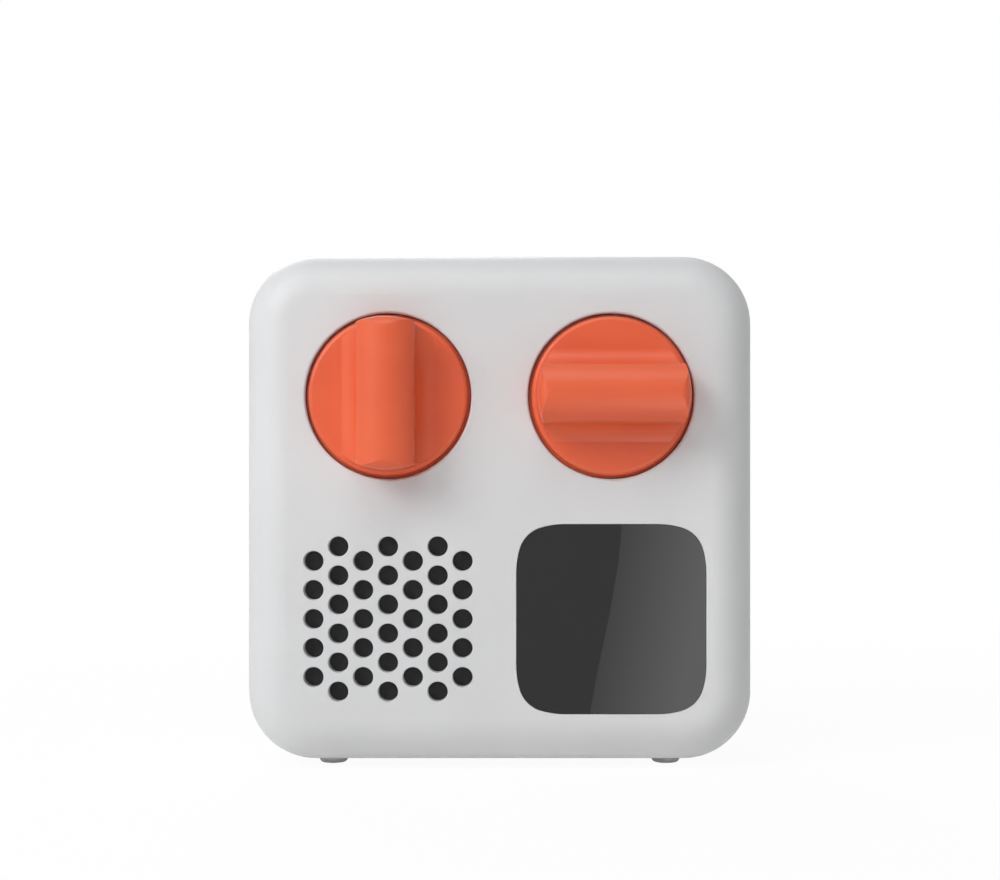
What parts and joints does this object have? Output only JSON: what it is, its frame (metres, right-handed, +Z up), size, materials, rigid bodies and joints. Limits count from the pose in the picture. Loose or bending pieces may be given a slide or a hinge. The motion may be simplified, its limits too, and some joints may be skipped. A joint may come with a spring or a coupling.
{
  "type": "audio story player",
  "caption": "Pocket audio player for children: a rounded grey box with orange push-turn knobs, a round-hole speaker grille, a square dark display and a card slot on top.",
  "frame": {"origin": "on the table, under the middle of the object's box", "axes": "+Z up, +X to the right as seen from the front, the front with the knobs faces -Y"},
  "size_m": [0.07, 0.041, 0.071],
  "materials": {
    "housing": "light grey moulded ABS with a fine matt texture",
    "lens": "smoked acrylic cover, glossy, reads black when the display is off",
    "black_foam": "black closed-cell foam",
    "black_plastic": "black moulded plastic",
    "cloth": "black acoustic cloth",
    "steel": "plated steel",
    "spring_steel": "spring steel sheet",
    "die_cast": "die-cast zinc alloy",
    "magnet": "nickel-plated neodymium",
    "black_rubber": "black foam rubber",
    "paper": "coated black paper pulp",
    "copper": "enamelled copper winding",
    "knob": "orange-red moulded ABS, satin",
    "cream_plastic": "natural nylon",
    "brass": "brass and gold-plated brass",
    "circuit_board": "glass-epoxy board with green mask",
    "pouch": "laminated aluminium battery pouch",
    "tape": "double-sided foam tape",
    "wire": "red silicone insulated wire",
    "foot": "grey silicone rubber"
  },
  "bodies": {
    "housing": {"front_shell": "housing", "rear_shell": "housing", "display_lens": "lens", "display_frame": "black_foam", "pixel_display": "black_plastic", "display_header": "black_plastic", "grille_cloth": "cloth", "speaker_ring": "black_foam", "speaker_basket": "black_plastic", "speaker_pot": "steel", "speaker_magnet": "magnet", "speaker_pole_plate": "steel", "speaker_surround": "black_rubber", "speaker_screws": "steel", "left_encoder_frame": "die_cast", "right_encoder_frame": "die_cast", "left_encoder_base": "black_plastic", "right_encoder_base": "black_plastic", "left_encoder_nut": "brass", "right_encoder_nut": "brass", "left_click_dome": "spring_steel", "right_click_dome": "spring_steel", "left_click_spring": "spring_steel", "right_click_spring": "spring_steel", "encoder_pins": "brass", "control_board": "circuit_board", "control_header": "black_plastic", "main_board": "circuit_board", "radio_module": "steel", "main_processor": "black_plastic", "board_screws": "steel", "battery_foam": "black_foam", "battery": "pouch", "battery_tape": "tape", "battery_plug": "cream_plastic", "battery_wires": "wire", "speaker_plug": "cream_plastic", "speaker_wires": "wire", "card_pocket": "cream_plastic", "reader_board": "circuit_board", "power_switch": "black_plastic", "charging_port": "steel", "charging_tongue": "black_plastic", "headphone_socket": "black_plastic", "case_screws": "steel", "front_left_foot": "foot", "front_right_foot": "foot", "rear_left_foot": "foot", "rear_right_foot": "foot"},
    "speaker_cone": {"speaker_cone": "paper", "dust_cap": "paper", "voice_coil": "copper"},
    "left_turn_plate": {"left_rotor": "cream_plastic"},
    "right_turn_plate": {"right_rotor": "cream_plastic"},
    "left_knob": {"left_knob": "knob", "left_shaft": "steel"},
    "right_knob": {"right_knob": "knob", "right_shaft": "steel"},
    "power_button": {"power_button": "housing", "switch_plunger": "cream_plastic"}
  },
  "joints": [
    {"name": "left_turn", "type": "hinge", "parent": "housing", "child": "left_turn_plate", "pos_m": [-0.0152, -0.0045, 0.0512], "axis": [0, 1, 0], "continuous": true},
    {"name": "left_press", "type": "slide", "parent": "left_turn_plate", "child": "left_knob", "axis": [0, 1, 0], "range_m": [0, 0.0005], "stiffness_N_per_m": 1500, "springref_m": -0.002, "deforming": ["left_click_dome"]},
    {"name": "right_turn", "type": "hinge", "parent": "housing", "child": "right_turn_plate", "pos_m": [0.0152, -0.0045, 0.0512], "axis": [0, 1, 0], "continuous": true},
    {"name": "right_press", "type": "slide", "parent": "right_turn_plate", "child": "right_knob", "axis": [0, 1, 0], "range_m": [0, 0.0005], "stiffness_N_per_m": 1500, "springref_m": -0.002, "deforming": ["right_click_dome"]},
    {"name": "power_press", "type": "slide", "parent": "housing", "child": "power_button", "axis": [-1, 0, 0], "range_m": [0, 0.0003], "stiffness_N_per_m": 1500, "springref_m": -0.001},
    {"name": "cone_travel", "type": "slide", "parent": "housing", "child": "speaker_cone", "axis": [0, -1, 0], "range_m": [-0.0004, 0.0004], "stiffness_N_per_m": 300, "deforming": ["speaker_surround"]}
  ]
}
